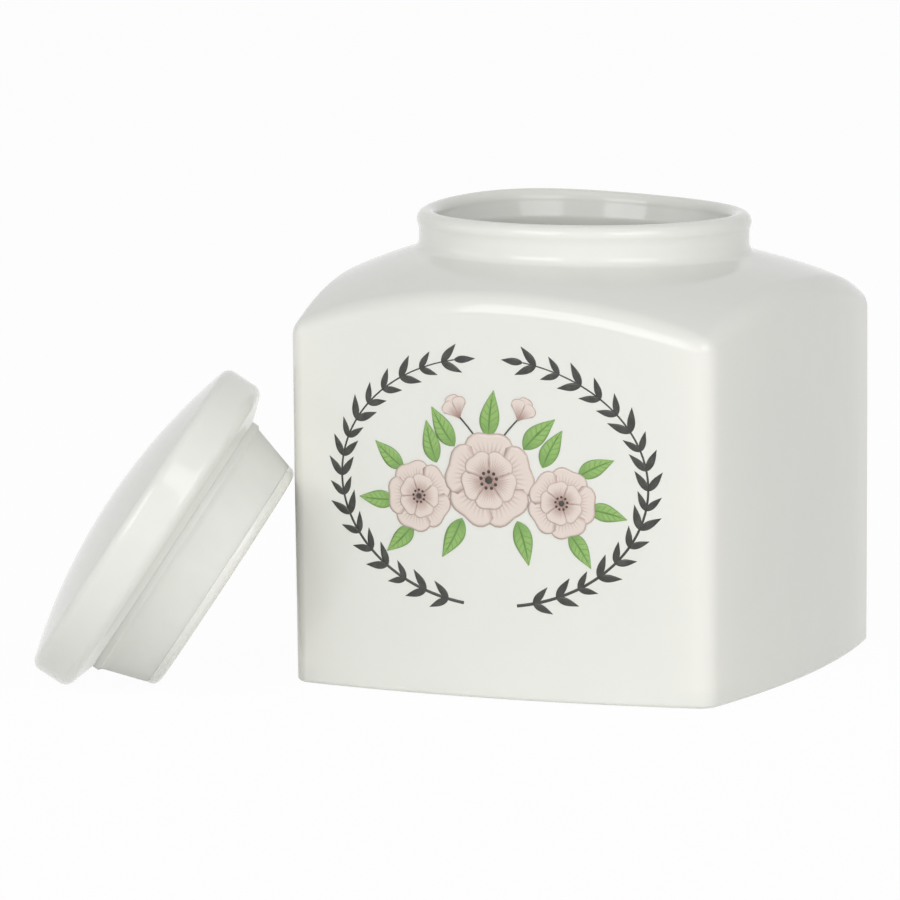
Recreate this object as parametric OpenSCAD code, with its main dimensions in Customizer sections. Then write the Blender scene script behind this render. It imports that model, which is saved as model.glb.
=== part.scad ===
// Square porcelain garlic keeper: a jar with bowed sides, a domed shoulder and
// a round neck, and a round plug lid with a silicone seal.
// The lid is off. It stands on the edge of its flange and the rim of its plug,
// and leans on the jar's front left corner.
// Millimetres. Origin: centre of the foot, on the table. Front face: -Y.

/* [Jar body] */
// Width of the jar across the middle of two opposite sides
body_w = 120; // [104:1:150]
// How far each side bows out between the corners
side_bow = 6.2; // [4:0.1:8]
// Radius of the upright corners
corner_r = 5.6; // [5:0.1:9]
// Radius of the domed shoulder
dome_r = 137; // [120:1:200]
// Height at which the dome would cross the jar's axis
dome_top = 111.6; // [100:0.2:116]

/* [Jar walls] */
// Thickness of the walls and the shoulder
wall = 4.5; // [3:0.1:5.5]
// Thickness of the floor
floor_t = 5; // [4:0.1:8]
// Radius of the upright corners, inside
inner_corner_r = 2.5; // [2:0.1:5]
// Height of the unglazed foot ring
foot_h = 0.6; // [0.4:0.1:1.5]
// Distance from the sides to the foot ring
foot_inset = 2.8; // [2.5:0.1:5]
// Width of the foot ring
foot_w = 4; // [2:0.1:8]

/* [Neck] */
// Radius of the mouth
mouth_r = 36.2; // [34:0.1:37]
// Radius of the neck at its waist, outside
neck_r = 40.2; // [39.5:0.1:40.5]
// Height of the rim above the table
rim_z = 115; // [112:0.2:130]
// Outer radius of the rolled rim
rim_r = 41.3; // [41:0.1:42.5]
// Radius of the hollow between the rim and the neck's waist
waist_r = 3; // [2:0.1:5]
// Radius of the fillet between the neck and the shoulder
neck_fillet = 2.6; // [1.5:0.1:3]

/* [Lid] */
// Radius of the lid's flange
flange_r = 43.5; // [42.5:0.1:48]
// Height of the flange, from its lower edge to the edge of the dome
flange_h = 13.2; // [11:0.1:18]
// Rise of the dome above its edge
dome_rise = 4.2; // [3:0.1:8]
// Radius of the rounding round the dome
dome_edge_r = 3.2; // [2:0.1:5]
// Radius of the rounding at the flange's lower edge
flange_edge_r = 3; // [2:0.1:4]
// Fall of the flange's underside from its edge to the plug
underside_fall = 2.2; // [0.5:0.1:3]
// Depth of the plug below the flange's lower edge
plug_depth = 17.4; // [16:0.1:24]
// Radius of the plug at its lower rim
plug_r = 31.5; // [28:0.1:32]
// Height of the plug's bare rim, below the seal
plug_rim_h = 2.5; // [2.4:0.1:4]
// Radius of the rounding at the plug's lower rim
plug_rim_r = 2.2; // [1.5:0.1:2.4]
// Thickness of the plug's wall
plug_wall = 4.2; // [3.5:0.1:5]
// Thickness of the lid under the dome
lid_roof = 5; // [4:0.1:8]
// Radius of the rounding round the roof of the lid's hollow
hollow_round = 5; // [3:0.5:7]
// Gap between the leaning lid and the jar
lean_gap = 0.3; // [0.1:0.1:1]
// Direction in which the lid leans, turned from the jar's front
lean_heading = 21; // [10:1:60]

/* [Lid seal] */
// Clearance between the seal's lip and the mouth
seal_clear = 0.5; // [0.2:0.1:1]
// Thickness of the seal's sleeve
seal_t = 1.5; // [1:0.1:1.8]
// Gap between the flange's underside and the seal
seal_gap = 1.2; // [0.8:0.1:2]
// Height of the seal's lip
lip_h = 1.7; // [1.2:0.1:3]
// How far the lip stands out from the sleeve
lip_out = 0.7; // [0.3:0.1:1]
// Play between the seal and the plug
seal_play = 0.05; // [0.02:0.01:0.1]

/* [Hidden] */
$fn = 128;

// Steps of each bowed side, each corner and each arc of a profile
side_steps = 12;
corner_steps = 6;
arc_steps = 8;
// How far a cut or a hidden face runs past what it meets
past = 1;
// How deep the foot of a fillet is buried in the surface it meets
bury = 0.2;

half_w = body_w / 2;
bow_r = (half_w ^ 2 + side_bow ^ 2) / (2 * side_bow);
bow_c = half_w - bow_r;
dome_c = dome_top - dome_r;

// Height of a dome of radius r round the jar's dome centre, at a distance d
// from the jar's axis
function dome_z(r, d) = dome_c + sqrt(r ^ 2 - d ^ 2);

// Points of an arc round c, from angle a to angle b
function arc(c, r, a, b, n = arc_steps) =
    [for (i = [0:n]) let (t = a + (b - a) * i / n) c + r * [cos(t), sin(t)]];

// Distance of the corner arcs' centres from the jar's two middle planes, for
// sides of radius r
function corner_c(r, round_r) = (bow_c + sqrt(2 * (r - round_r) ^ 2 - bow_c ^ 2)) / 2;

// A square outline with bowed sides and round corners, moved in by inset
module outline(inset, round_r) {
    r = bow_r - inset;
    k = corner_c(r, round_r);
    turn = atan2(k, k - bow_c);
    quarter = concat(
        arc([bow_c, 0], r, -turn, turn, side_steps),
        arc([k, k], round_r, turn, 90 - turn, corner_steps));
    polygon([for (q = [0:3], i = [1:len(quarter) - 1]) let (p = quarter[i])
        [p.x * cos(90 * q) - p.y * sin(90 * q), p.x * sin(90 * q) + p.y * cos(90 * q)]]);
}

// A bowed square block under a dome of radius r round the jar's dome centre,
// standing at height z0
module domed_block(inset, round_r, r, z0) {
    intersection() {
        translate([0, 0, z0]) linear_extrude(dome_top) outline(inset, round_r);
        translate([0, 0, dome_c]) sphere(r = r);
    }
}

// The unglazed ring that the jar stands on
module foot_ring() {
    linear_extrude(foot_h + past) difference() {
        outline(foot_inset, max(corner_r - foot_inset, past));
        outline(foot_inset + foot_w, past);
    }
}

// The neck with its rolled rim, its waist and the fillet at its root
module neck() {
    lip_r = (rim_r - mouth_r) / 2;
    lip = [rim_r - lip_r, rim_z - lip_r];
    lip_end = acos((neck_r + waist_r - lip.x) / (lip_r + waist_r));
    waist = lip + (lip_r + waist_r) * [cos(lip_end), -sin(lip_end)];
    root = [neck_r + neck_fillet, dome_z(dome_r, neck_r + neck_fillet) - bury];
    roof_z = dome_z(dome_r - wall, neck_r) - bury;
    rotate_extrude() polygon(concat(
        [[mouth_r, roof_z], [neck_r, roof_z], root - [0, past]],
        arc(root + [0, neck_fillet], neck_fillet, -90, -180),
        arc(waist, waist_r, 180, 180 - lip_end),
        arc(lip, lip_r, -lip_end, 180, 2 * arc_steps)));
}

module jar() {
    color("#e9eae4") union() {
        difference() {
            domed_block(0, corner_r, dome_r, foot_h);
            domed_block(wall, inner_corner_r, dome_r - wall, foot_h + floor_t);
            translate([0, 0, dome_top / 2]) cylinder(r = neck_r - past, h = dome_top);
        }
        foot_ring();
        neck();
    }
}

// The lid's profile, in its own frame: [distance from its axis, height above
// its flange's lower edge]. Centres of its roundings and points where they end
crown = flange_h + dome_rise;
crown_r = (flange_r ^ 2 + dome_rise ^ 2) / (2 * dome_rise);
crown_edge_x = flange_r - dome_edge_r;
crown_edge = [crown_edge_x, crown - crown_r + sqrt((crown_r - dome_edge_r) ^ 2 - crown_edge_x ^ 2)];
crown_end = atan2(crown_edge.y - crown + crown_r, crown_edge.x);
flange_edge = [flange_r - flange_edge_r, flange_edge_r];
plug_rim = [plug_r - plug_rim_r, plug_rim_r - plug_depth];

// The seal's seat on the plug, from just under the flange to the bare rim,
// tapered so that the sleeve is flush with the rim below and its lip fits the
// mouth above
seal_r = mouth_r - seal_clear;
seat_low = [plug_r - seal_t, plug_rim_h - plug_depth];
seat_high = [seal_r - lip_out - seal_t, -underside_fall];
underside = atan2(underside_fall, flange_edge.x - seat_high.x);

// The lid stands with the roundings of its flange and of its plug on the table
tilt_span = flange_edge - plug_rim;
tilt = acos((plug_rim_r - flange_edge_r) / norm(tilt_span)) - atan2(tilt_span.y, tilt_span.x);
lid_z = plug_rim_r + plug_rim.x * cos(tilt) - plug_rim.y * sin(tilt);
// How far its plug reaches towards the jar, from the lid's own origin
lid_reach = plug_rim_r + plug_rim.x * sin(tilt) - plug_rim.y * cos(tilt);
jar_corner = corner_c(bow_r, corner_r);
lean_d = corner_r + lean_gap + lid_reach;

// Puts what is drawn in the lid's own frame where the lid leans on the jar
module leaning() {
    translate([
        -jar_corner - lean_d * cos(lean_heading),
        -jar_corner - lean_d * sin(lean_heading),
        lid_z])
        rotate([0, tilt - 90, lean_heading]) children();
}

module lid() {
    hollow_r = plug_r - plug_wall;
    roof_z = crown - lid_roof;
    roof_r = crown_r - lid_roof;
    hollow_edge_x = hollow_r - hollow_round;
    hollow_edge = [hollow_edge_x, crown - crown_r + sqrt((roof_r - hollow_round) ^ 2 - hollow_edge_x ^ 2)];
    hollow_end = atan2(hollow_edge.y - crown + crown_r, hollow_edge.x);
    inner_rim = [hollow_r + plug_rim_r / 2, plug_rim_r / 2 - plug_depth];
    color("#eeefea") leaning() rotate_extrude() polygon(concat(
        [[0, roof_z]],
        arc([0, crown - crown_r], roof_r, 90, hollow_end),
        arc(hollow_edge, hollow_round, hollow_end, 0),
        arc(inner_rim, plug_rim_r / 2, 180, 270),
        arc(plug_rim, plug_rim_r, -90, 0),
        [[plug_r, seat_low.y], seat_low, seat_high],
        arc(flange_edge, flange_edge_r, underside - 90, 0),
        arc(crown_edge, dome_edge_r, 0, crown_end),
        arc([0, crown - crown_r], crown_r, crown_end, 90, arc_steps)));
}

module lid_seal() {
    // Outer surface of the sleeve at height y, and the seat's at the same height
    taper = (seat_high - seat_low).x / (seat_high - seat_low).y;
    top = -underside_fall - seal_gap;
    function seat_x(y) = seat_low.x + (y - seat_low.y) * taper + seal_play;
    function sleeve_x(y) = seat_x(y) + seal_t;
    nose_r = lip_h / 4;
    color("#e3e5dd") leaning() rotate_extrude() polygon(concat(
        [[seat_x(top), top], [seat_x(seat_low.y + seal_play), seat_low.y + seal_play]],
        [[sleeve_x(seat_low.y + seal_play), seat_low.y + seal_play]],
        [[sleeve_x(top - lip_h), top - lip_h]],
        arc([seal_r - nose_r, top - lip_h + 2 * nose_r], nose_r, -60, 90)));
}

jar();
lid();
lid_seal();
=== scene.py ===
"""A square porcelain garlic keeper, its lid lifted off and leaning on it.

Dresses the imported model: the glazed jar with its soft edges, the lid, its silicone seal, the print
on the front face, and a plain pale studio. Everything is in metres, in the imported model's frame.
"""

import bpy
import numpy as np
from bpy.props import FloatProperty, FloatVectorProperty, IntProperty, PointerProperty
from bpy.types import Operator, Panel, PropertyGroup
from mathutils import Matrix, Vector


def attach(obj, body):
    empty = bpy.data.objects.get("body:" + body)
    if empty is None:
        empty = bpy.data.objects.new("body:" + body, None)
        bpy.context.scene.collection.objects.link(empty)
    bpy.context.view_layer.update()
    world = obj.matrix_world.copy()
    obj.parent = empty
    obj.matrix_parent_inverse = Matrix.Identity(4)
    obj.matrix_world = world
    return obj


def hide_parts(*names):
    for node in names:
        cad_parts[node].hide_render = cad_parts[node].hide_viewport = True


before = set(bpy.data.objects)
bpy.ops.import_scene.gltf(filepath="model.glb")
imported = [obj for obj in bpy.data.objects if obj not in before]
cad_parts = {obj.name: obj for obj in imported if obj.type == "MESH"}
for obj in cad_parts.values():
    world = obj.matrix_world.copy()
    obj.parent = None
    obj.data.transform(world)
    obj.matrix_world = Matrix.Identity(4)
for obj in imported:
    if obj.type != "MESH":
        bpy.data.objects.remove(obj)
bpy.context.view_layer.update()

bl_info = {
    "name": "Garlic keeper",
    "version": (1, 0, 0),
    "blender": (4, 5, 0),
    "location": "3D Viewport > Sidebar > Garlic keeper",
    "description": "Builds a glazed porcelain garlic keeper with its lid off",
    "category": "Object",
}

MM = 0.001
TAU = 2 * np.pi

# Kinds of node that recur
MATH = "ShaderNodeMath"
MIX = "ShaderNodeMix"
RANGE = "ShaderNodeMapRange"
NOISE = "ShaderNodeTexNoise"
BUMP = "ShaderNodeBump"


def srgb(code):
    """An sRGB hex colour such as "#edeee9" as linear red, green and blue."""
    s = np.array([int(code[i : i + 2], 16) for i in (1, 3, 5)]) / 255
    return tuple(np.where(s <= 0.04045, s / 12.92, ((s + 0.055) / 1.055) ** 2.4))


def length(name, description, value):
    """A size in millimetres, kept as a length in metres."""
    return FloatProperty(
        name=name, description=description, default=value * MM, min=0, unit="LENGTH", precision=5
    )


def degrees(name, description, value):
    """An angle in degrees, kept in radians."""
    return FloatProperty(
        name=name, description=description, default=np.radians(value), subtype="ANGLE"
    )


def colour(name, description, code):
    """A colour given as sRGB hex, kept as linear light."""
    return FloatVectorProperty(
        name=name, description=description, default=srgb(code), subtype="COLOR", min=0, max=1
    )


def watts(name, value):
    """A lamp's power in watts."""
    return FloatProperty(name=name, description="Power of the lamp", default=value, unit="POWER")


class JarSizes(PropertyGroup):
    """Sizes of the jar."""

    width: length("Width", "Across the middle of two opposite sides", 120)
    side_bow: length("Side bow", "How far each side bows out between the corners", 6.2)
    corner: length("Corner radius", "Radius of the upright corners", 5.6)
    draft: length("Draft", "How much narrower the foot is than the shoulder, each side", 0.3)
    base_round: length("Base rounding", "Rounding between the sides and the underside", 1.1)
    dome: length("Dome radius", "Radius of the domed shoulder", 137)
    dome_top: length("Dome top", "Height at which the dome would cross the axis", 111.6)
    edge: length("Shoulder rounding", "Soft edge between the shoulder and the sides", 7)
    corner_edge: length("Corner rounding", "The same soft edge, where two sides meet", 5.3)
    wall: length("Wall", "Thickness of the walls and the shoulder", 4.5)
    floor: length("Floor", "Thickness of the floor", 5)
    inner_corner: length("Inner corner radius", "Radius of the upright corners, inside", 2.6)
    inner_round: length("Inner rounding", "Rounding along the floor and the shoulder, inside", 2.4)
    foot: length("Foot height", "Height of the unglazed foot ring", 0.35)
    foot_inset: length("Foot inset", "Distance from the sides to the foot ring", 2.8)
    foot_width: length("Foot width", "Width of the foot ring", 4)
    mouth: length("Mouth radius", "Radius of the mouth", 36.2)
    mouth_taper: length("Mouth taper", "How much narrower the mouth is at its lower end", 1)
    mouth_round: length("Mouth rounding", "Between the mouth and the shoulder, inside", 9)
    neck: length("Neck radius", "Radius of the neck at its waist", 40.8)
    neck_round: length("Neck fillet", "Fillet between the neck and the shoulder", 2.6)
    rim_height: length("Rim height", "Height of the rim above the table", 115)
    rim: length("Rim radius", "Outer radius of the rolled rim", 41.3)
    waist: length("Waist radius", "Radius of the hollow between rim and waist", 6)
    root_sink: length("Root sink", "How far the neck's root sank in the kiln", 1.75)
    root_tilt: length("Root tilt", "How much more it sank on the low side", 0.95)
    rim_sink: length("Rim sink", "How far the rim sank", 2)
    rim_tilt: length("Rim tilt", "How much more it sank on the low side", 0.5)
    low_heading: degrees("Low side", "Direction of the side that sank most", 24)
    rim_rise: length("Rim rise", "How much less the rim sank where it stayed highest", 1.75)
    rise_heading: degrees("Rise heading", "Direction of the highest part of the rim", 138)
    rise_spread: degrees("Rise spread", "Width of the highest part of the rim", 44)
    sink_spread: length("Sink spread", "How far the sunken part reaches out from the neck", 20)


class LidSizes(PropertyGroup):
    """Sizes of the lid and its seal."""

    flange: length("Flange radius", "Radius of the flange", 43.5)
    flange_height: length("Flange height", "From its lower edge to the dome's edge", 10.8)
    dome_rise: length("Dome rise", "Rise of the dome above its edge", 6.6)
    dome_edge: length("Dome edge rounding", "Rounding round the dome", 2.6)
    flange_edge: length("Flange edge rounding", "Rounding at the flange's lower edge", 3)
    underside: length("Underside fall", "Fall of the flange's underside to the plug", 2.2)
    plug_depth: length("Plug depth", "Depth of the plug below the flange", 17.4)
    plug: length("Plug radius", "Radius of the plug at its lower rim", 31.5)
    plug_rim: length("Plug rim height", "Height of the bare rim below the seal", 2.5)
    rim_round: length("Plug rim rounding", "Rounding at the plug's lower rim", 2.2)
    plug_wall: length("Plug wall", "Thickness of the plug's wall", 4.2)
    roof: length("Roof", "Thickness of the lid under the dome", 5)
    hollow_round: length("Hollow rounding", "Rounding round the roof of the hollow", 5)
    lean_gap: length("Lean gap", "Gap between the leaning lid and the jar", 0.3)
    lean_heading: degrees("Lean heading", "Direction in which the lid leans", 21)
    seal_clear: length("Seal clearance", "Between the seal's lip and the mouth", 0.5)
    seal: length("Seal thickness", "Thickness of the seal's sleeve", 1.5)
    seal_gap: length("Seal gap", "Between the flange's underside and the seal", 0.05)
    seal_play: length("Seal play", "Between the seal and the plug", 0.05)
    lip_height: length("Lip height", "Height of the seal's lip", 1.7)
    lip_out: length("Lip reach", "How far the lip stands out from the sleeve", 0.3)


class PrintSizes(PropertyGroup):
    """Sizes of the fired-on print."""

    height: length("Centre height", "Height of the middle of the print", 53)
    wreath_x: length("Wreath half width", "From the middle to the side of the wreath", 40)
    wreath_z: length("Wreath half height", "From the middle to the top of the wreath", 30)
    laurel: length("Laurel leaf", "Length of a dark leaf on the wreath", 5.6)
    splay: degrees("Laurel splay", "How far a dark leaf stands out from the vine", 36)
    pairs: IntProperty(name="Leaf pairs", description="Leaf pairs on each branch", default=17)
    leaf: length("Green leaf", "Length of a green leaf", 11.5)
    blossom: length("Blossom", "Radius of the middle blossom", 12)
    line: length("Line", "Width of the vine", 0.6)
    lift: length("Lift", "How far the ink stands off the glaze", 0.03)
    layer: length("Layer", "Further lift of each layer of ink", 0.015)
    ink: length("Ink", "Thickness of a sheet of ink", 0.15)


class Finishes(PropertyGroup):
    """Colours of the glaze, the clay, the silicone, the inks and the studio's board."""

    glaze: colour("Glaze", "White glaze over porcelain", "#eeefe9")
    # Lighter than the glaze: thin glaze over edges, with a painted highlight along them
    glaze_thin_highlight: colour("Thin glaze", "Glaze drawn thin over an edge", "#f3f2ec")
    clay: colour("Clay", "Bare fired porcelain", "#e6e1d6")
    silicone: colour("Silicone", "Milky translucent silicone", "#ecede7")
    charcoal: colour("Charcoal", "Dark ink", "#3b3c38")
    leaf_dark: colour("Leaf, dark", "Green ink along the veins", "#578640")
    leaf_light: colour("Leaf, light", "Green ink between the veins", "#96bd6c")
    petal_deep: colour("Petal, deep", "Mauve ink at the heart of a petal", "#9c746a")
    petal_pale: colour("Petal, pale", "Cream ink towards the tip of a petal", "#ecdfd6")
    board: colour("Board", "White board of the studio's floor", "#f4f4f2")


class StudioSettings(PropertyGroup):
    """Camera, lamps and background."""

    azimuth: degrees("Azimuth", "Camera's direction, turned from the jar's front", 23.91)
    elevation: degrees("Elevation", "Camera's height above the horizon", 7.81)
    roll: degrees("Roll", "Camera's roll", -0.53)
    distance: length("Distance", "From the camera to the point it looks at", 1580.97)
    aim_side: FloatProperty(
        name="Aim, sideways", description="Point looked at", default=-33.58 * MM, unit="LENGTH"
    )
    aim_height: length("Aim height", "Height of the point looked at", 53.44)
    lens: FloatProperty(name="Lens", description="Focal length", default=255.1, unit="CAMERA")
    key_left: watts("Left softbox", 6.0)
    key_right: watts("Right softbox", 4.9)
    fill_left: watts("Left fill", 1.6)
    tent_front: watts("Front tent", 4.8)
    low_front: watts("Low front strip", 3.4)
    world: FloatProperty(name="World", description="Light from all round", default=0.28)
    white: FloatProperty(
        name="White", description="Share of the floor that the camera sees as white", default=0.97
    )


def feed(node, inputs):
    """Sets or links a node's inputs, given by name or in their order."""
    pairs = inputs.items() if isinstance(inputs, dict) else enumerate(inputs)
    for key, value in pairs:
        if isinstance(value, bpy.types.NodeSocket):
            node.id_data.links.new(value, node.inputs[key])
        else:
            node.inputs[key].default_value = value


def add(tree, kind, inputs=(), out=0, **settings):
    """Adds a node, sets its properties and its inputs, and returns one of its outputs."""
    node = tree.nodes.new(kind)
    for key, value in settings.items():
        setattr(node, key, value)
    feed(node, inputs)
    return node.outputs[out]


def rgba(value, share=1.0):
    """A share of a colour with full alpha, as a socket wants it."""
    return (*(share * c for c in value), 1.0)


def new_material(name, **sockets):
    """A material with a Principled shader, whose even values are set on its own sockets."""
    material = bpy.data.materials.new(name)
    material.use_nodes = True
    shader = material.node_tree.nodes["Principled BSDF"]
    feed(shader, {key.replace("_", " "): value for key, value in sockets.items()})
    return material, material.node_tree, shader


def put(name, data):
    """A new object in the scene, at the origin."""
    thing = bpy.data.objects.new(name, data)
    bpy.context.scene.collection.objects.link(thing)
    return thing


def smooth_mesh(name, points, faces):
    """A mesh of points and faces, shaded smooth."""
    mesh = bpy.data.meshes.new(name)
    mesh.from_pydata(points.tolist(), [], faces)
    mesh.polygons.foreach_set("use_smooth", np.ones(len(faces), bool))
    return mesh


def surface(name, grid, wrap_along=False, poles=(None, None), thin_glaze_highlight_share=None):
    """A piece from a grid of points, rows along a profile by columns round it. Each cell is one
    four-sided face. Columns, and rows where wrap_along is set, close on themselves. A pole is a
    point that closes the first or the last row with a fan. The last argument gives, for each point,
    its share of thin glaze painted lighter as a highlight."""
    rows, columns = grid.shape[:2]
    index = np.arange(rows * columns).reshape(rows, columns)
    down = np.roll(index, -1, 0)[: rows if wrap_along else rows - 1]
    up = index[: len(down)]
    cells = np.stack([up, np.roll(up, -1, 1), np.roll(down, -1, 1), down], -1)
    faces = cells.reshape(-1, 4).tolist()
    points = grid.reshape(-1, 3)
    for pole, row, flip in ((poles[0], index[0], True), (poles[1], index[-1], False)):
        if pole is None:
            continue
        tip = np.full(columns, len(points))
        fan = [tip, np.roll(row, -1), row] if flip else [tip, row, np.roll(row, -1)]
        points = np.vstack([points, pole])
        faces += np.stack(fan, -1).tolist()
    mesh = smooth_mesh(name, points, faces)
    # Each point's share of thin, lighter glaze, a painted highlight, kept as the edge attribute
    if thin_glaze_highlight_share is not None:
        values = np.zeros(len(points), np.float32)
        values[: thin_glaze_highlight_share.size] = thin_glaze_highlight_share.ravel()
        mesh.attributes.new("edge", "FLOAT", "POINT").data.foreach_set("value", values)
    mesh.validate()
    return put(name, mesh)


def arc(centre, radius, start, end, steps):
    """Points of an arc round a centre, from one angle to another, in degrees."""
    t = np.radians(np.linspace(start, end, steps + 1))
    return np.asarray(centre) + radius * np.stack([np.cos(t), np.sin(t)], -1)


def bowed_side(j):
    """Radius of a bowed side, from its chord and its bow, and how far from the jar's axis the
    side's centre lies, which is negative for a centre on the far side of the axis."""
    half = j.width / 2
    radius = (half**2 + j.side_bow**2) / (2 * j.side_bow)
    return radius, half - radius


def corner_centre(j, radius, corner):
    """Distance of a corner arc's centre from the jar's two middle planes. The arc touches two
    sides of the given radius from inside."""
    middle = bowed_side(j)[1]
    return (middle + np.sqrt(2 * (radius - corner) ** 2 - middle**2)) / 2


def outline(j, inset, corner, side_steps=56, corner_steps=20):
    """Points, outward normals and nearness to a corner, round a square with bowed sides and round
    corners, moved in by inset. A side is an arc through the corners' arcs, and both share a normal
    where they meet."""
    bow, middle = bowed_side(j)
    radius = bow - inset
    k = corner_centre(j, radius, corner)
    turn = np.arctan2(k, k - middle)
    side = np.linspace(-turn, turn, side_steps, endpoint=False)
    bend = np.linspace(turn, np.pi / 2 - turn, corner_steps, endpoint=False)
    angle = np.concatenate([side, bend])
    x = np.concatenate([middle + radius * np.cos(side), k + corner * np.cos(bend)])
    y = np.concatenate([radius * np.sin(side), k + corner * np.sin(bend)])
    near = np.concatenate([np.abs(side / turn) ** 8, np.ones(corner_steps)])
    points, normals = [], []
    for quarter in range(4):
        c, s = np.cos(quarter * np.pi / 2), np.sin(quarter * np.pi / 2)
        turned_by = np.array([[c, s], [-s, c]])
        points.append(np.stack([x, y], -1) @ turned_by)
        normals.append(np.stack([np.cos(angle), np.sin(angle)], -1) @ turned_by)
    return np.concatenate(points), np.concatenate(normals), np.tile(near, 4)


def dome_centre(j):
    """Height of the centre of the shoulder's dome."""
    return j.dome_top - j.dome


def dome_height(j, radius, distance):
    """Height of a sphere round the dome's centre at a distance from the jar's axis."""
    return dome_centre(j) + np.sqrt(radius**2 - distance**2)


def ring(points, height):
    """Points in plan raised to a height."""
    return np.column_stack([points, np.broadcast_to(height, len(points))])


def rolled_edge(j, points, normals, radius, ball, steps):
    """The edge that a ball leaves when it is rolled along under the dome and inside the walls:
    for each point of the outline, an arc from the wall's normal to the dome's. The ball may have
    another radius at each point."""
    ball = np.broadcast_to(ball, len(points))[:, None]
    radius = np.broadcast_to(radius, ball.shape)
    centre = points - ball * normals
    centre = ring(centre, dome_height(j, (radius - ball)[:, 0], np.linalg.norm(centre, axis=1)))
    out = ring(normals, 0)
    up = (centre - [0, 0, dome_centre(j)]) / (radius - ball)
    sweep = np.arccos(np.sum(out * up, 1))[:, None]
    share = np.linspace(0, 1, steps + 1)[:, None, None]
    towards = (np.sin((1 - share) * sweep) * out + np.sin(share * sweep) * up) / np.sin(sweep)
    return centre + ball * towards


def over_dome(j, start, end, radius, steps):
    """Rings that run on the dome from one ring to another, in straight lines in plan."""
    share = np.linspace(0, 1, steps + 2)[1:-1, None, None]
    plan = start[:, :2] + share * (end[:, :2] - start[:, :2])
    height = dome_height(j, radius, np.linalg.norm(plan, axis=2))
    return np.concatenate([plan, height[..., None]], 2)


def fillet_on_dome(j, wall, fillet, radius):
    """Centre of a fillet that touches an upright round wall and a sphere round the dome's centre,
    and the angle in degrees at which it touches the sphere."""
    reach = wall + fillet
    centre = np.array([reach, dome_height(j, radius + fillet, reach)])
    return centre, 180 + np.degrees(np.arctan2(centre[1] - dome_centre(j), reach))


def neck_profile(j):
    """The neck in section, as distance from the axis and height: the fillet at its root, the
    waist, the rolled rim, the mouth's wall and the rounding where it meets the shoulder inside."""
    lip = (j.rim - j.mouth) / 2
    lip_at = np.array([j.rim - lip, j.rim_height - lip])
    lip_end = np.degrees(np.arccos((j.neck + j.waist - lip_at[0]) / (lip + j.waist)))
    away = np.array([np.cos(np.radians(lip_end)), -np.sin(np.radians(lip_end))])
    low_mouth = j.mouth - j.mouth_taper
    root_at, root_end = fillet_on_dome(j, j.neck, j.neck_round, j.dome)
    under_at, under_end = fillet_on_dome(j, low_mouth, j.mouth_round, j.dome - j.wall)
    return np.concatenate([
        arc(root_at, j.neck_round, root_end, 180, 8),
        arc(lip_at + (lip + j.waist) * away, j.waist, 180, 180 - lip_end, 8),
        arc(lip_at, lip, -lip_end, 180, 28)[1:],
        np.linspace([j.mouth, lip_at[1]], [low_mouth, under_at[1]], 8)[1:-1],
        arc(under_at, j.mouth_round, 180, under_end, 12),
    ])


def spun(section, angle):
    """A section, as distance from an axis and height along it, at each angle round the axis."""
    height = np.broadcast_to(section[:, 1:], (len(section), len(angle)))
    return np.stack([section[:, :1] * np.cos(angle), section[:, :1] * np.sin(angle), height], -1)


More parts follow.
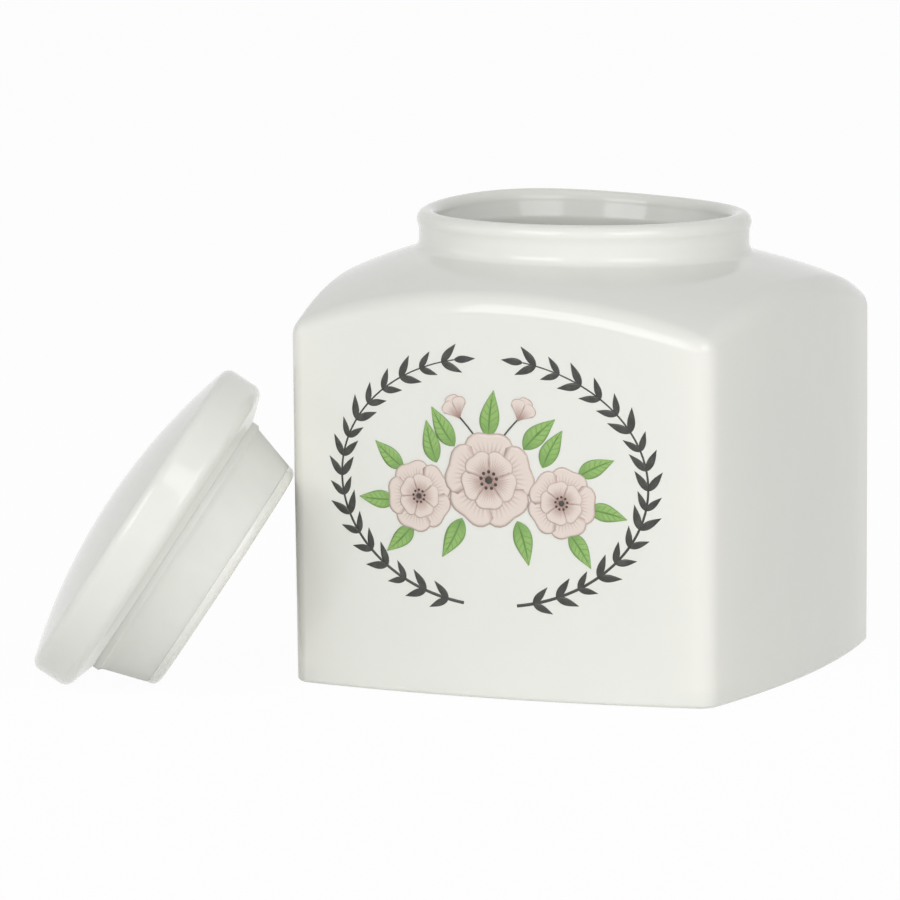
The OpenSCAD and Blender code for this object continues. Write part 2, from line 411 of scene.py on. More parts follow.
def jar_rings(j):
    """The jar's whole skin as rings of points, from the middle of the underside, round the foot
    ring, up the outside, over the rim and down the inside to the middle of the floor. With it go
    two marks for each point, of bare clay and of glaze drawn thin and painted lighter as a
    highlight, and the floor's height."""
    wall_points, wall_normals, near_corner = outline(j, 0, j.corner)
    foot_out = j.foot_inset + j.draft
    foot_in = foot_out + j.foot_width
    soft, least_corner = 0.25 * MM, 1.2 * MM
    middle = 0.05  # the smallest ring of a flat face, as a share of the largest
    rings, clay, thin_glaze_highlight_share = [], [], []

    def lay(new, bare=0.0, thin=0.0):
        new = np.asarray(new).reshape(-1, len(wall_points), 3)
        rings.append(new)
        clay.append(np.full(new.shape[:2], bare))
        thin_glaze_highlight_share.append(np.broadcast_to(np.asarray(thin, float), new.shape[:2]))

    def flat(inset, height, share=1.0):
        return ring(outline(j, inset, max(j.corner - inset, least_corner))[0] * share, height)

    def wall_ring(inset, height):
        return ring(wall_points - inset * wall_normals, height)

    # The underside, and the foot ring: its inner edge, its face and its outer edge
    lay([flat(foot_in + soft, j.foot, s) for s in np.linspace(middle, 1, 16)])
    quarter = np.linspace(0, np.pi / 2, 4)
    for a in quarter:
        lay(flat(foot_in - soft * (1 - np.cos(a)), soft * (1 - np.sin(a))), bare=1)
    face = j.foot_width - 2 * soft
    lay([flat(foot_in - soft - s * face, 0) for s in (0.3, 0.7)], bare=1)
    for a in quarter:
        lay(flat(foot_out + soft * (1 - np.sin(a)), soft * (1 - np.cos(a))), bare=1)
    start = j.draft + j.base_round
    lay(flat(foot_out, 0.8 * j.foot), bare=1)
    lay(flat((foot_out + start) / 2, j.foot))

    # The sides, from the rounding at the base to the soft edge of the shoulder
    for a in np.linspace(0, np.pi / 2, 9):
        lay(wall_ring(start - j.base_round * np.sin(a), j.foot + j.base_round * (1 - np.cos(a))))
    ball = j.edge + near_corner * (j.corner_edge - j.edge)
    shoulder = rolled_edge(j, wall_points, wall_normals, j.dome, ball, 14)
    low, high = j.foot + j.base_round, shoulder[0][:, 2]
    # Near the upright corners the walls and the shoulder's rounding get the lighter thin glaze, a
    # painted highlight
    for f in np.linspace(0, 1, 22)[1:-1]:
        lay(wall_ring(j.draft * (1 - f) ** 2, low + f * (high - low)), thin=near_corner)
    lay(shoulder, thin=np.linspace(1, 0, len(shoulder))[:, None] * near_corner)

    # The shoulder and the neck. Glaze draws thin over the lip, which is painted lighter there as a
    # highlight
    section = neck_profile(j)
    neck = spun(section, np.arctan2(shoulder[-1][:, 1], shoulder[-1][:, 0]))
    lay(over_dome(j, shoulder[-1], neck[0], j.dome, 22))
    lip_height = j.rim_height - (j.rim - j.mouth)
    on_lip = np.clip((section[:, 1] - lip_height) / (j.rim_height - lip_height), 0, 1) ** 3
    lay(neck, thin=np.repeat(on_lip[:, None], neck.shape[1], 1))

    # The inside, from the shoulder down to the floor
    inner_points, inner_normals, _ = outline(j, j.wall, j.inner_corner)
    inside = j.dome - j.wall
    vault = rolled_edge(j, inner_points, inner_normals, inside, j.inner_round, 6)
    lay(over_dome(j, neck[-1], vault[-1], inside, 16))
    lay(vault[::-1])
    floor = j.foot + j.floor
    low = floor + j.inner_round
    for f in np.linspace(1, 0, 16)[1:-1]:
        lay(ring(inner_points, low + f * (vault[0][:, 2] - low)))
    for a in np.linspace(0, np.pi / 2, 7):
        inset = j.inner_round * (1 - np.cos(a))
        lay(ring(inner_points - inset * inner_normals, low - j.inner_round * np.sin(a)))
    within = inner_points - j.inner_round * inner_normals
    lay([ring(within * s, floor) for s in np.linspace(1, middle, 16)[1:]])
    return sunk(j, np.concatenate(rings)), np.concatenate(clay), np.concatenate(thin_glaze_highlight_share), floor


def sunk(j, grid):
    """The skin after the kiln: the neck and the shoulder round it sank, more on one side, and a
    part of the rim stayed high. The depth goes from the root's to the rim's with height. It fades
    with a bell curve outwards from the neck, and to nothing halfway down the walls."""
    heading = np.arctan2(grid[..., 1], grid[..., 0])
    lower = np.cos(heading - j.low_heading)
    off = (heading - j.rise_heading + np.pi) % TAU - np.pi
    root = j.root_sink + j.root_tilt * lower
    rim = j.rim_sink + j.rim_tilt * lower - j.rim_rise * np.exp(-((off / j.rise_spread) ** 2))
    root_height = dome_height(j, j.dome, j.neck)
    share = np.clip((grid[..., 2] - root_height) / (j.rim_height - root_height), 0, 1)
    out = np.clip(np.hypot(grid[..., 0], grid[..., 1]) - j.neck, 0, None)
    halfway, three_quarters = 0.5 * j.dome_top, 0.75 * j.dome_top
    up = np.clip((grid[..., 2] - halfway) / (three_quarters - halfway), 0, 1)
    depth = (root + share * (rim - root)) * np.exp(-((out / j.sink_spread) ** 2))
    depth = depth * up**2 * (3 - 2 * up)
    return np.concatenate([grid[..., :2], grid[..., 2:] - depth[..., None]], 2)


def outwards(grid):
    """A skin of rings, once its faces are known to point outwards, as its signed volume tells."""
    a, b = grid[:-1], grid[1:]
    c, d = np.roll(b, -1, 1), np.roll(a, -1, 1)
    if (np.cross(a, d) * c).sum() + (np.cross(a, c) * b).sum() < 0:
        raise RuntimeError("the skin is inside out")
    return grid


def glazed_porcelain(name, f):
    """Porcelain dipped in clear glossy glaze and fired at 1300 C. The glaze pools and thins by a
    few hundredths of a millimetre over 10 to 30 mm, so reflections waver a little; where it draws
    thin over an edge it is warmer and painted lighter, a painted highlight. The body lets a little
    light in."""
    material, tree, shader = new_material(
        name,
        IOR=1.52,
        Subsurface_Weight=0.06,
        Subsurface_Scale=2 * MM,
        Subsurface_Radius=(1.0, 0.9, 0.75),
    )
    place = add(tree, "ShaderNodeTexCoord", out="Object")
    clouds, waver, specks = (
        add(tree, NOISE, {"Vector": place, "Scale": 1 / (size * MM), "Detail": detail})
        for size, detail in ((28, 3.0), (11, 1.0), (1.1, 2.0))
    )
    thin_glaze_highlight_share = add(tree, "ShaderNodeAttribute", out="Fac", attribute_name="edge")
    pooled, thin = rgba(f.glaze, 0.965), rgba(f.glaze_thin_highlight)
    shade = add(
        tree, MIX, {"Factor": clouds, "A": pooled, "B": rgba(f.glaze)}, "Result", data_type="RGBA"
    )
    # Thin glaze over edges is painted lighter: a painted highlight along them
    tint = add(tree, MIX, {"Factor": thin_glaze_highlight_share, "A": shade, "B": thin}, "Result", data_type="RGBA")
    gloss = add(tree, RANGE, {"Value": specks, "To Min": 0.05, "To Max": 0.13})
    ripple = add(tree, BUMP, {"Height": waver, "Distance": 0.05 * MM})
    normal = add(tree, BUMP, {"Height": specks, "Distance": 0.0015 * MM, "Normal": ripple})
    feed(shader, {"Base Color": tint, "Roughness": gloss, "Normal": normal})
    return material


def bare_porcelain(f):
    """The foot ring, wiped free of glaze before firing: dry, faintly warm and finely grained,
    with grey scuffs from the table."""
    material, tree, shader = new_material("bisque_porcelain_wiped", IOR=1.5)
    place = add(tree, "ShaderNodeTexCoord", out="Object")
    grain, scuffs = (
        add(tree, NOISE, {"Vector": place, "Scale": 1 / (size * MM), "Detail": detail})
        for size, detail in ((0.5, 4.0), (9, 6.0))
    )
    dirty = add(tree, RANGE, {"Value": scuffs, "From Min": 0.5, "From Max": 0.75, "To Max": 0.5})
    clean, grey = rgba(f.clay), rgba(f.clay, 0.6)
    mixed = add(tree, MIX, {"Factor": dirty, "A": clean, "B": grey}, "Result", data_type="RGBA")
    rough = add(tree, RANGE, {"Value": grain, "To Min": 0.65, "To Max": 0.85})
    normal = add(tree, BUMP, {"Height": grain, "Distance": 0.05 * MM})
    feed(shader, {"Base Color": mixed, "Roughness": rough, "Normal": normal})
    return material


def moulded_silicone(f):
    """Milky silicone rubber, moulded in a fine-blasted tool: satin, a little translucent, with a
    faint bloom of dust and grease."""
    material, tree, shader = new_material(
        "silicone_moulded",
        IOR=1.41,
        Subsurface_Weight=0.3,
        Subsurface_Scale=1.5 * MM,
        Subsurface_Radius=(1.0, 1.0, 0.85),
    )
    place = add(tree, "ShaderNodeTexCoord", out="Object")
    bloom, blast = (
        add(tree, NOISE, {"Vector": place, "Scale": 1 / (size * MM), "Detail": detail})
        for size, detail in ((7, 4.0), (0.4, 2.0))
    )
    clear, dull = rgba(f.silicone), rgba(f.silicone, 0.93)
    mixed = add(tree, MIX, {"Factor": bloom, "A": clear, "B": dull}, "Result", data_type="RGBA")
    rough = add(tree, RANGE, {"Value": bloom, "To Min": 0.3, "To Max": 0.48})
    normal = add(tree, BUMP, {"Height": blast, "Distance": 0.008 * MM})
    feed(shader, {"Base Color": mixed, "Roughness": rough, "Normal": normal})
    return material


def give(piece, body, slot, *materials):
    """Puts a piece's materials on it and sets the body it rides on; the slot is not used."""
    for material in materials:
        piece.data.materials.append(material)
    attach(piece, body)
    return piece


class KEEPER_OT_jar(Operator):
    """Builds the jar: one skin of glazed porcelain with a bare foot ring"""

    bl_idname = "keeper.jar"
    bl_label = "Jar"

    def execute(self, context):
        j, f = context.scene.keeper_jar, context.scene.keeper_finish
        grid, clay, thin_glaze_highlight_share, floor = jar_rings(j)
        poles = ([0, 0, j.foot], [0, 0, floor])
        piece = surface("jar_body", outwards(grid), poles=poles, thin_glaze_highlight_share=thin_glaze_highlight_share)
        glaze = glazed_porcelain("porcelain_glazed", f)
        give(piece, "jar", "jar_porcelain", glaze, bare_porcelain(f))
        bare = (clay[:-1] * clay[1:]).astype(np.int32).ravel()
        which = np.zeros(len(piece.data.polygons), np.int32)
        which[: bare.size] = bare
        piece.data.polygons.foreach_set("material_index", which)
        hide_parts("jar")
        return {"FINISHED"}


def lean(l, j):
    """The turn and the place of the leaning lid. It stands with the roundings of its flange and
    of its plug on the table, and its plug's rim touches the jar's front left corner."""
    rim_at = np.array([l.plug - l.rim_round, l.rim_round - l.plug_depth])
    span = np.array([l.flange - l.flange_edge, l.flange_edge]) - rim_at
    tilt = np.arccos((l.rim_round - l.flange_edge) / np.linalg.norm(span))
    tilt -= np.arctan2(span[1], span[0])
    height = l.rim_round + rim_at[0] * np.cos(tilt) - rim_at[1] * np.sin(tilt)
    reach = l.rim_round + rim_at[0] * np.sin(tilt) - rim_at[1] * np.cos(tilt)
    corner = corner_centre(j, bowed_side(j)[0], j.corner)
    away = j.corner + l.lean_gap + reach
    x, y = (-corner - away * turn(l.lean_heading) for turn in (np.cos, np.sin))
    turned_by = Matrix.Rotation(l.lean_heading, 4, "Z") @ Matrix.Rotation(
        tilt - np.pi / 2, 4, "Y")
    return np.array(Matrix.Translation((x, y, height)) @ turned_by)


def turned(section, frame_of, columns=224):
    """A section turned once round its axis and put in its place."""
    grid = spun(section, np.linspace(0, TAU, columns, endpoint=False))
    return grid @ frame_of[:3, :3].T + frame_of[:3, 3]


def seat(l, mouth):
    """The two ends of the seal's seat on the plug, in section. It tapers, so that the sleeve is
    flush with the plug's rim below and its lip fits the mouth above."""
    low = np.array([l.plug - l.seal, l.plug_rim - l.plug_depth])
    high = np.array([mouth - l.seal_clear - l.lip_out - l.seal, -l.underside])
    return low, high


def lid_section(l, mouth):
    """The lid in section, from the middle of its hollow's roof, round the plug's rim and the
    flange, to the middle of its dome. With it go the heights of both middles."""
    crown = l.flange_height + l.dome_rise
    radius = (l.flange**2 + l.dome_rise**2) / (2 * l.dome_rise)
    low = crown - radius
    roof = radius - l.roof

    def shoulder(reach, ball, around):
        at = np.array([reach - ball, low + np.sqrt((around - ball) ** 2 - (reach - ball) ** 2)])
        return at, np.degrees(np.arctan2(at[1] - low, at[0]))

    hollow = l.plug - l.plug_wall
    hollow_at, hollow_end = shoulder(hollow, l.hollow_round, roof)
    edge_at, edge_end = shoulder(l.flange, l.dome_edge, radius)
    inner = l.rim_round / 2
    seat_low, seat_high = seat(l, mouth)
    flange_at = np.array([l.flange - l.flange_edge, l.flange_edge])
    under = np.degrees(np.arctan2(l.underside, flange_at[0] - seat_high[0]))
    wall_low = l.rim_round - l.plug_depth
    return np.concatenate([
        arc([0, low], roof, 90, hollow_end, 16)[1:],
        arc(hollow_at, l.hollow_round, hollow_end, 0, 10)[1:],
        np.linspace([hollow, hollow_at[1]], [hollow, wall_low], 12)[1:],
        arc([hollow + inner, inner - l.plug_depth], inner, 180, 270, 6),
        arc([l.plug - l.rim_round, wall_low], l.rim_round, -90, 0, 10),
        [[l.plug, seat_low[1]], seat_low],
        np.linspace(seat_low, seat_high, 8)[1:],
        arc(flange_at, l.flange_edge, under - 90, 0, 14),
        np.linspace([l.flange, l.flange_edge], [l.flange, edge_at[1]], 8)[1:-1],
        arc(edge_at, l.dome_edge, 0, edge_end, 14),
        arc([0, low], radius, edge_end, 90, 24)[1:-1],
    ]), low + roof, crown


class KEEPER_OT_lid(Operator):
    """Builds the lid: a domed top, a thick flange and a hollow plug, all glazed"""

    bl_idname = "keeper.lid"
    bl_label = "Lid"

    def execute(self, context):
        s = context.scene
        l, leaning = s.keeper_lid, lean(s.keeper_lid, s.keeper_jar)
        section, roof, crown = lid_section(l, s.keeper_jar.mouth)
        poles = [(leaning @ [0, 0, z, 1])[:3] for z in (roof, crown)]
        grid = outwards(turned(section, leaning))
        # The plug's rounded lower rim gets the lighter thin glaze, a painted highlight
        rise = np.clip((section[:, 1] + l.plug_depth) / l.rim_round, 0, 1)
        thin_glaze_highlight_share = np.repeat((1 - rise)[:, None], grid.shape[1], 1)
        piece = surface("lid_body", grid, poles=poles, thin_glaze_highlight_share=thin_glaze_highlight_share)
        glaze = glazed_porcelain("porcelain_glazed_lid", s.keeper_finish)
        give(piece, "lid", "lid_porcelain", glaze)
        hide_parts("lid")
        return {"FINISHED"}


def seal_section(l, mouth):
    """The seal in section: a tapered sleeve with softened edges and, at its top, a lip that
    follows the flange's underside."""
    seat_low, seat_high = seat(l, mouth)
    lip = mouth - l.seal_clear
    taper = (seat_high - seat_low)[0] / (seat_high - seat_low)[1]
    rise = l.underside * (lip - seat_high[0]) / (l.flange - l.flange_edge - seat_high[0])
    top = -l.underside - l.seal_gap
    low = seat_low[1] + 0.2 * l.seal_play  # clear of the plug's rim
    under = top - l.lip_height
    nose = l.lip_height / 4
    soft = 0.1 * MM

    def inner(y):
        return seat_low[0] + (y - seat_low[1]) * taper + l.seal_play

    def outer(y):
        return inner(y) + l.seal

    return np.concatenate([
        np.linspace([inner(top), top], [inner(low), low], 8),
        arc([outer(low) - soft, low + soft], soft, -90, 0, 4),
        np.linspace([outer(low + 2 * soft), low + 2 * soft], [outer(under), under], 10),
        arc([lip - nose, under + 2 * nose], nose, -60, 0, 6),
        arc([lip - soft, top + rise - soft], soft, 0, 90, 5),
    ])


class KEEPER_OT_seal(Operator):
    """Builds the silicone seal round the lid's plug"""

    bl_idname = "keeper.seal"
    bl_label = "Seal"

    def execute(self, context):
        s = context.scene
        section = seal_section(s.keeper_lid, s.keeper_jar.mouth)
        grid = turned(section, lean(s.keeper_lid, s.keeper_jar))
        outwards(np.concatenate([grid, grid[:1]]))
        piece = surface("lid_seal_sleeve", grid, wrap_along=True)
        give(piece, "lid", "seal_silicone", moulded_silicone(s.keeper_finish))
        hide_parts("lid_seal")
        return {"FINISHED"}


def on_front(j, flat, lift):
    """Points of the jar's front face: x across, z up, and y on the face's own arc, drawn in by
    the draft, which fades as the square of the height left to the shoulder."""
    bow, middle = bowed_side(j)
    x, z = flat[..., 0], flat[..., 1]
    low = j.foot + j.base_round
    high = dome_height(j, j.dome - j.edge, j.width / 2 - j.edge)
    inset = j.draft * np.clip(1 - (z - low) / (high - low), 0, 1) ** 2
    y = middle + np.sqrt((bow - inset + lift) ** 2 - x**2)
    return np.stack([x, -y, z], -1)


def placed(shape, rows):
    """Copies of a flat shape, one for each row of x, z, heading and size: grown, turned clockwise
    from upright by so many degrees, and moved to its place."""
    x, z, heading, size = rows.T[..., None, None]
    c, s = np.cos(np.radians(heading)), np.sin(np.radians(heading))
    right, up = size * shape[..., 0], size * shape[..., 1]
    return np.stack([right * c + up * s + x, up * c - right * s + z], -1)


def leaf_shape(width, bend, rows=16, columns=7):
    """A leaf of length 1: its half width is a sine of the length, fuller towards the stalk, and
    its midrib bends as the square of the length."""
    t = np.linspace(0, 1, rows)[:, None]
    across = np.linspace(-1, 1, columns)
    half = width * (0.04 + np.sin(np.pi * t**0.8) * (1 - 0.25 * t))
    return np.stack(np.broadcast_arrays(across * half + bend * t**2, t + 0 * across), -1)


def petal_shape(spread, notch, rows=12, columns=13):
    """A petal of length 1: a fan that opens quickly, with a rounded and faintly notched end."""
    t = np.linspace(0.05, 1, rows)[:, None]
    across = np.linspace(-1, 1, columns)
    end = 1 - 0.24 * across**4 - notch * np.exp(-((across / 0.28) ** 2))
    angle = np.radians(spread) * across * t**0.35
    return np.stack([t * end * np.sin(angle), t * end * np.cos(angle)], -1)


def dot_shape(cells=6):
    """A disc of radius 1, as a square whose sides are bent round."""
    u, v = np.meshgrid(np.linspace(-1, 1, cells), np.linspace(-1, 1, cells))
    return np.stack([u * np.sqrt(1 - v**2 / 2), v * np.sqrt(1 - u**2 / 2)], -1)


def ribbon(path, width):
    """A flat line along a path, with one width or one for each point, as one strip."""
    path = np.asarray(path)
    along = np.gradient(path, axis=0)
    along /= np.linalg.norm(along, axis=1, keepdims=True)
    right = np.column_stack([along[:, 1], -along[:, 0]])
    across = np.linspace(-0.5, 0.5, 3)[:, None]
    return (path[:, None] + across * (right * np.reshape(width, (-1, 1)))[:, None])[None]


def mirrored(rows):
    """Rows of x, z, heading and size, each with its twin on the left where x isn't zero."""
    twins = [(-x, z, -heading, size) for x, z, heading, size in rows if x]
    return np.array(list(rows) + twins, float)


def printed(name, j, p, shapes, layers, material):
    """A sheet of ink on the front face from flat shapes, each in its own layer: its UV map runs
    across and along each shape. The sheet is sunk into the glaze, as fired ink is."""
    points, faces, spans, count = [], [], [], 0
    for group, layer in zip(shapes, layers):
        n, rows, columns = group.shape[:3]
        lift = p.lift + p.layer * np.reshape(layer, (-1, 1, 1))
        points.append(on_front(j, group + [0, p.height], lift).reshape(-1, 3))
        index = count + np.arange(n * rows * columns).reshape(n, rows, columns)
        corners = index[:, :-1, :-1], index[:, :-1, 1:], index[:, 1:, 1:], index[:, 1:, :-1]
        faces += np.stack(corners, -1).reshape(-1, 4).tolist()
        u, v = np.meshgrid(np.linspace(0, 1, columns), np.linspace(0, 1, rows))
        spans.append(np.tile(np.stack([u, v], -1).reshape(-1, 2), (n, 1)))
        count += n * rows * columns
    mesh = smooth_mesh(name, np.concatenate(points), faces)
    corner = np.zeros(len(mesh.loops), np.int32)
    mesh.loops.foreach_get("vertex_index", corner)
    uv = mesh.uv_layers.new(name="across_along")
    uv.data.foreach_set("uv", np.concatenate(spans)[corner].ravel())
    piece = put(name, mesh)
    sheet = piece.modifiers.new("ink", "SOLIDIFY")
    sheet.thickness, sheet.offset = p.ink, -1
    return give(piece, "jar", "jar_porcelain", material)


def on_shape(tree):
    """Where a point lies on a printed shape: across it, along it and off its midline, each from
    0 to 1."""
    uv = add(tree, "ShaderNodeUVMap", out="UV", uv_map="across_along")
    across = add(tree, "ShaderNodeSeparateXYZ", {"Vector": uv}, "X")
    side = add(tree, MATH, (across, 2.0, -1.0), operation="MULTIPLY_ADD")
    return across, across.node.outputs["Y"], add(tree, MATH, (side,), operation="ABSOLUTE")


def dark_tone(tree, mottle, f):
    """Charcoal ink, a shade lighter where the coat is thin."""
    thin = add(tree, RANGE, (mottle, 0.4, 0.8, 0.0, 1.0))
    lighter = tuple(1.6 * c + 0.01 for c in f.charcoal)
    coats = {"Factor": thin, "A": rgba(f.charcoal), "B": rgba(lighter)}
    return add(tree, MIX, coats, "Result", data_type="RGBA")


def leaf_tone(tree, mottle, f):
    """Green ink: dark along the midrib, the seven side veins and the edge, light between them."""
    _, along, off = on_shape(tree)
    back = add(tree, MATH, (off, -7.0), operation="MULTIPLY")
    slant = add(tree, MATH, (along, 44.0, back), operation="MULTIPLY_ADD")
    wave = add(tree, MATH, (slant,), operation="SINE")
    dark = add(tree, RANGE, (wave, 0.55, 1.0, 0.0, 0.55))
    for line in (
        (off, 0.05, 0.16, 1.0, 0.0),  # midrib
        (off, 0.72, 1.0, 0.0, 0.8),  # edge
        (along, 0.0, 0.45, 0.7, 0.0),  # base
    ):
        dark = add(tree, MATH, (dark, add(tree, RANGE, line)), operation="MAXIMUM")
    coat = add(tree, RANGE, (mottle, 0.2, 0.7, 0.6, 1.0))
    dark = add(tree, MATH, (dark, coat), operation="MULTIPLY")
    greens = {"Factor": dark, "A": rgba(f.leaf_light), "B": rgba(f.leaf_dark)}
    return add(tree, MIX, greens, "Result", data_type="RGBA")


def petal_tone(tree, mottle, f):
    """Mauve ink at a petal's heart, in ten fine streaks that fade into cream, and at its edge."""
    across, along, off = on_shape(tree)
    phase = add(tree, MATH, (across, 62.0), operation="MULTIPLY")
    streaks = add(tree, MATH, (phase,), operation="SINE")
    reach = add(tree, MATH, (streaks, 0.1, along), operation="MULTIPLY_ADD")
    heart = add(tree, RANGE, (reach, 0.12, 0.75, 1.0, 0.08))
    tip = add(tree, RANGE, (along, 0.7, 1.0, 0.0, 1.0))
    border = add(tree, MATH, (off, tip), operation="MAXIMUM")
    edge = add(tree, RANGE, (border, 0.8, 1.0, 0.0, 0.75))
    deep = add(tree, MATH, (heart, edge), operation="MAXIMUM")
    coat = add(tree, RANGE, (mottle, 0.2, 0.75, 0.65, 1.0))
    deep = add(tree, MATH, (deep, coat), operation="MULTIPLY")
    mauves = {"Factor": deep, "A": rgba(f.petal_pale), "B": rgba(f.petal_deep)}
    return add(tree, MIX, mauves, "Result", data_type="RGBA")


def ink(name, tone, gloss, f):
    """Ceramic ink, screen printed on the glaze and fired to it at 800 C: a little less glossy
    than the glaze, with the uneven tone of a coat a hundredth of a millimetre thick. tone is a
    function that gives the colour's socket."""
    material, tree, shader = new_material(name, IOR=1.5)
    place = add(tree, "ShaderNodeTexCoord", out="Object")
    mottle = add(tree, NOISE, {"Vector": place, "Scale": 1 / (2.2 * MM), "Detail": 3.0})
    rough = add(tree, RANGE, {"Value": mottle, "To Min": gloss, "To Max": gloss + 0.12})
    normal = add(tree, BUMP, {"Height": mottle, "Distance": 0.002 * MM})
    feed(shader, {"Base Color": tone(tree, mottle, f), "Roughness": rough, "Normal": normal})
    return material


class KEEPER_OT_print(Operator):
    """Prints the front: an oval wreath of dark leaves round a posy of blossoms and green leaves"""

    bl_idname = "keeper.print"
    bl_label = "Print"

    def execute(self, context):
        s = context.scene
        j, p, f = s.keeper_jar, s.keeper_print, s.keeper_finish
        dark = ink("ceramic_ink_charcoal", dark_tone, 0.16, f)
        self.wreath(j, p, dark)
        self.posy_leaves(j, p, f)
        self.blossoms(j, p, f, dark)
        return {"FINISHED"}

    def wreath(self, j, p, dark):
        """Two branches that start at the foot of an oval and nearly meet at its head, with
        leaves in pairs and one at each tip."""
        angle = np.radians(np.linspace(-80, 77, 120))
        oval = np.array([p.wreath_x, p.wreath_z])
        vine = np.column_stack([np.cos(angle), np.sin(angle)]) * oval
        taper = p.line * np.linspace(1.3, 0.5, len(vine))
        branches = np.concatenate([ribbon(vine, taper), ribbon(vine * [-1, 1], taper)])
        printed("print_vine", j, p, [branches], [np.zeros(2)], dark)

        node = np.radians(np.linspace(-74, 72, p.pairs))
        at = np.column_stack([np.cos(node), np.sin(node)]) * oval
        along = np.column_stack([-np.sin(node), np.cos(node)]) * oval
        heading = np.degrees(np.arctan2(along[:, 0], along[:, 1]))
        size = p.laurel * (1 + 0.1 * np.sin(2.4 * np.arange(p.pairs)))
        splay = np.degrees(p.splay)
        rows = [
            (x, z, h + side * splay, d)
            for (x, z), h, d in zip(at, heading, size)
            for side in (-1, 1)
        ]
        rows.append((*vine[-1], np.degrees(np.arctan2(-1, 0.1)), p.laurel))
        rows = mirrored(rows)
        leaves = placed(leaf_shape(0.17, 0.0, 12, 5), rows)
        printed("print_wreath_leaves", j, p, [leaves], [np.ones(len(rows))], dark)

    def posy_leaves(self, j, p, f):
        """Green leaves that stand out between and behind the blossoms, the left half mirrored
        from the right."""
        rows = mirrored([
            (0, 0.9, 0, 1.0), (0.75, 0.7, 40, 0.95), (1.9, 0.2, 58, 0.85), (2.1, -0.45, 96, 0.85),
            (1.7, -0.95, 140, 0.85), (0.6, -0.75, 158, 0.95), (1.15, 0.35, 22, 0.9),
        ]) * [p.blossom, p.blossom, 1, p.leaf]
        leaves = placed(leaf_shape(0.24, 0.12), rows)
        green = ink("ceramic_ink_green", leaf_tone, 0.14, f)
        printed("print_green_leaves", j, p, [leaves], [1 + 0.5 * np.arange(len(rows))], green)

    def blossoms(self, j, p, f, dark):
        """Three open blossoms, each of five large petals under five small ones, two buds of
        three petals on stalks, and a ring of nine seeds round a dark heart in each blossom."""
        b = p.blossom
        grown = [b, b, 1, b]
        flowers = mirrored([(0, 0.05, 0, 1), (1.55, -0.35, 20, 0.74)]) * grown
        fifth = np.tile(np.arange(5), len(flowers))
        petals = np.repeat(flowers, 5, 0)
        petals[:, 2] += 72 * fifth
        petals[:, 3] *= 1 + 0.06 * np.sin(3.1 * fifth)
        outer = placed(petal_shape(43, 0.07), petals)
        inner = placed(petal_shape(40, 0.05), petals * [1, 1, 1, 0.62] + [0, 0, 36, 0])
        bud = (0.62, 1.25)
        buds = mirrored([(*bud, 26, 0.52), (*bud, 50, 0.46), (*bud, 4, 0.46)]) * grown
        closed = placed(petal_shape(24, 0.0), buds)
        step = 0.4 * fifth
        printed(
            "print_petals", j, p, [outer, inner, closed],
            [9 + step, 12 + step, 9 + 0.4 * np.arange(len(buds))],
            ink("ceramic_ink_mauve", petal_tone, 0.14, f),
        )

        turn = np.radians(np.arange(9) * 40.0)
        around = np.column_stack([np.sin(turn), np.cos(turn)])
        seeds = np.repeat(flowers, 9, 0)
        seeds[:, :2] += 0.17 * seeds[:, 3:] * np.tile(around, (len(flowers), 1))
        dots = np.concatenate([seeds * [1, 1, 0, 0.035], flowers * [1, 1, 0, 0.08]])
        hearts = placed(dot_shape(), dots)
        stalk = b * np.array([[0.2, 0.8], [0.45, 1.1], [0.62, 1.28]])
        stalks = [ribbon(stalk * [side, 1], 0.6 * p.line) for side in (1, -1)]
        printed(
            "print_hearts", j, p, [hearts, *stalks],
            [np.full(len(dots), 15.0), np.full(1, 8.0), np.full(1, 8.0)], dark,
        )


def shown_white(tree):
    """1 on rays from the camera, off glaze or through glass, which see the background as white,
    and 0 on the rays that light the object."""
    seen = add(tree, "ShaderNodeLightPath", out="Is Camera Ray")
    rays = seen.node.outputs
    for kind in ("Is Glossy Ray", "Is Transmission Ray"):
        seen = add(tree, MATH, (seen, rays[kind]), operation="MAXIMUM")
    return seen


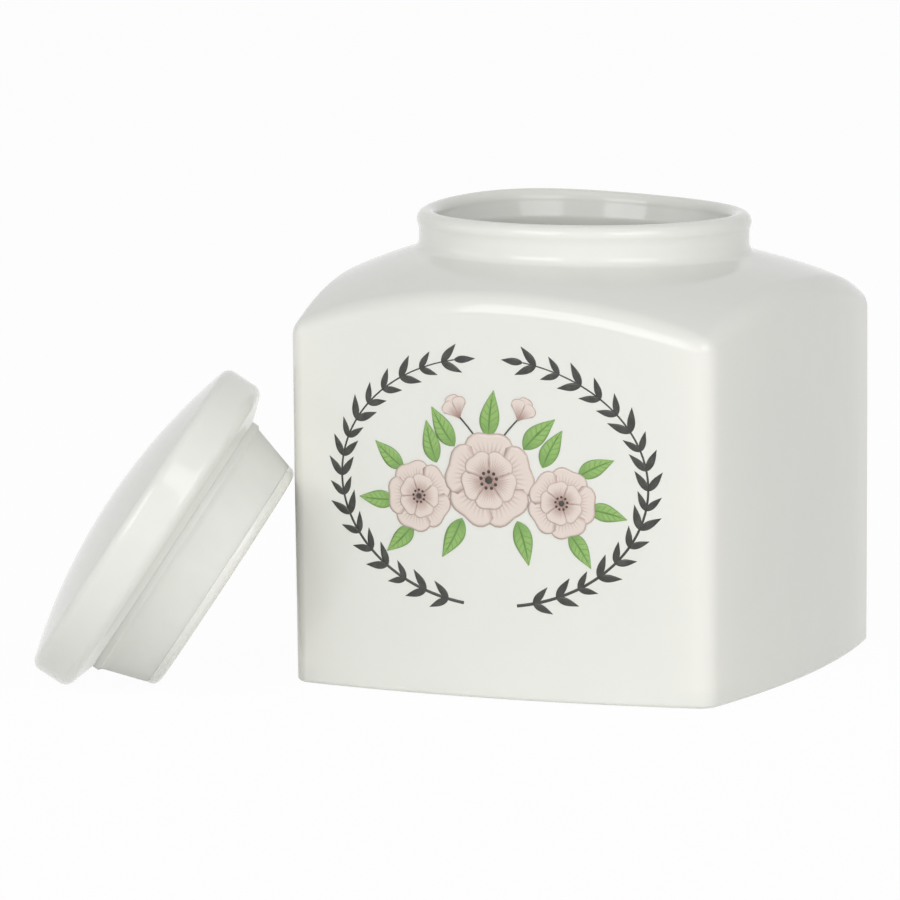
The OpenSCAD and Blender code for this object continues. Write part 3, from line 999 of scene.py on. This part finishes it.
class KEEPER_OT_studio(Operator):
    """Builds the pale floor, the soft lamps, the white surround and the camera"""

    bl_idname = "keeper.studio"
    bl_label = "Studio"

    def execute(self, context):
        scene, t = context.scene, context.scene.keeper_studio
        scene.view_settings.view_transform = "Standard"
        self.camera(scene, t)
        self.floor(t, scene.keeper_finish)
        self.surround(scene, t)
        self.lamps(t)
        return {"FINISHED"}

    def camera(self, scene, t):
        """A long lens that looks at a point beside the jar's axis, slightly rolled."""
        sine, cosine = np.sin(t.azimuth), np.cos(t.azimuth)
        level = np.cos(t.elevation)
        back = Vector((sine * level, -cosine * level, np.sin(t.elevation)))
        right = Vector((cosine, sine, 0))
        up = back.cross(right)
        rolled_right = right * np.cos(t.roll) + up * np.sin(t.roll)
        rolled_up = up * np.cos(t.roll) - right * np.sin(t.roll)
        aim = Vector((t.aim_side * cosine, t.aim_side * sine, t.aim_height))
        axes = Matrix((rolled_right, rolled_up, back)).transposed().to_4x4()
        camera = put("camera", bpy.data.cameras.new("camera"))
        camera.data.lens = t.lens
        camera.data.clip_end = 50
        camera.matrix_world = Matrix.Translation(aim + t.distance * back) @ axes
        scene.camera = camera

    def floor(self, t, f):
        """A round sweep of matt white board, flat under the object and turned up far behind it.
        The camera sees it as white, less a share of the object's soft shadow."""
        flat, sweep = 5.0, 2.0
        bend = np.linspace(0.1, 1.5, 12)
        radius = np.concatenate([np.linspace(0.02, flat, 40), flat + sweep * np.sin(bend)])
        height = np.concatenate([np.zeros(40), sweep * (1 - np.cos(bend))])
        grid = turned(np.column_stack([radius, height])[::-1], np.eye(4), 96)
        board = surface("studio_floor", grid, poles=(None, [0, 0, 0]))
        material, tree, shader = new_material(
            "white_board_matt", Roughness=0.9, Base_Color=rgba(f.board))
        share = add(tree, MATH, (shown_white(tree), t.white), operation="MULTIPLY")
        white = add(tree, "ShaderNodeEmission", {"Strength": 1.0})
        mix = add(tree, "ShaderNodeMixShader", (share, shader.outputs[0], white))
        feed(tree.nodes["Material Output"], {"Surface": mix})
        board.data.materials.append(material)

    def surround(self, scene, t):
        """Even light from all round, seen by the camera and in the glaze as white."""
        scene.world = bpy.data.worlds.new("studio_world")
        scene.world.use_nodes = True
        tree = scene.world.node_tree
        strengths = {"Factor": shown_white(tree), "A": t.world, "B": 1.0}
        level = add(tree, MIX, strengths, "Result", data_type="FLOAT")
        feed(tree.nodes["Background"], {"Strength": level, "Color": (1, 1, 1, 1)})

    def lamps(self, t):
        """Two softboxes about 35 degrees to each side of the camera, whose reflections show in the
        mouth and along the neck, a weak fill far left, a wide tent over the camera, and a strip
        close to the table that lifts the low parts and isn't mirrored in the glaze."""
        centre = Vector((0, 0, 0.06))
        # Degrees round from the camera, degrees up, metres away, metres wide and tall, power,
        # and whether the glaze mirrors it
        lamps = (
            ("softbox_left", -35, 28, 1.5, 0.9, 0.85, t.key_left, True),
            ("softbox_right", 36, 28, 1.5, 0.9, 0.85, t.key_right, True),
            ("fill_left", -90, 15, 1.5, 1.0, 1.0, t.fill_left, True),
            ("tent_front", 5, 16, 2.4, 3.2, 1.3, t.tent_front, True),
            ("low_front", 8, 1.5, 1.45, 1.4, 0.12, t.low_front, False),
        )
        for name, turn, rise, away, wide, tall, power, mirrored_in in lamps:
            lamp = bpy.data.lights.new(name, "AREA")
            lamp.shape, lamp.size, lamp.size_y, lamp.energy = "RECTANGLE", wide, tall, power
            heading, rise = t.azimuth + np.radians(turn), np.radians(rise)
            level = np.cos(rise)
            towards = Vector((np.sin(heading) * level, -np.cos(heading) * level, np.sin(rise)))
            facing = towards.to_track_quat("Z", "Y").to_matrix().to_4x4()
            box = put(name, lamp)
            box.visible_glossy = mirrored_in
            box.matrix_world = Matrix.Translation(centre + away * towards) @ facing


class KEEPER_PT_panel(Panel):
    """Lists the pieces in the order in which they are built"""

    bl_idname = "KEEPER_PT_panel"
    bl_label = "Garlic keeper"
    bl_space_type = "VIEW_3D"
    bl_region_type = "UI"
    bl_category = "Garlic keeper"

    def draw(self, context):
        for operator in OPERATORS:
            self.layout.operator(operator.bl_idname)
        for group, sizes in GROUPS:
            box = self.layout.box()
            for name in sizes.__annotations__:
                box.prop(getattr(context.scene, group), name)


GROUPS = (
    ("keeper_jar", JarSizes),
    ("keeper_lid", LidSizes),
    ("keeper_print", PrintSizes),
    ("keeper_finish", Finishes),
    ("keeper_studio", StudioSettings),
)
OPERATORS = (KEEPER_OT_jar, KEEPER_OT_lid, KEEPER_OT_seal, KEEPER_OT_print, KEEPER_OT_studio)


def register():
    """Registers the settings, the operators and the panel."""
    for name, group in GROUPS:
        bpy.utils.register_class(group)
        setattr(bpy.types.Scene, name, PointerProperty(type=group))
    for each in (*OPERATORS, KEEPER_PT_panel):
        bpy.utils.register_class(each)


def unregister():
    """Takes back what register did."""
    for each in (KEEPER_PT_panel, *reversed(OPERATORS)):
        bpy.utils.unregister_class(each)
    for name, group in reversed(GROUPS):
        delattr(bpy.types.Scene, name)
        bpy.utils.unregister_class(group)


def main():
    """Builds every piece in order."""
    register()
    for operator in OPERATORS:
        group, name = operator.bl_idname.split(".")
        getattr(getattr(bpy.ops, group), name)()


if __name__ == "__main__":
    main()
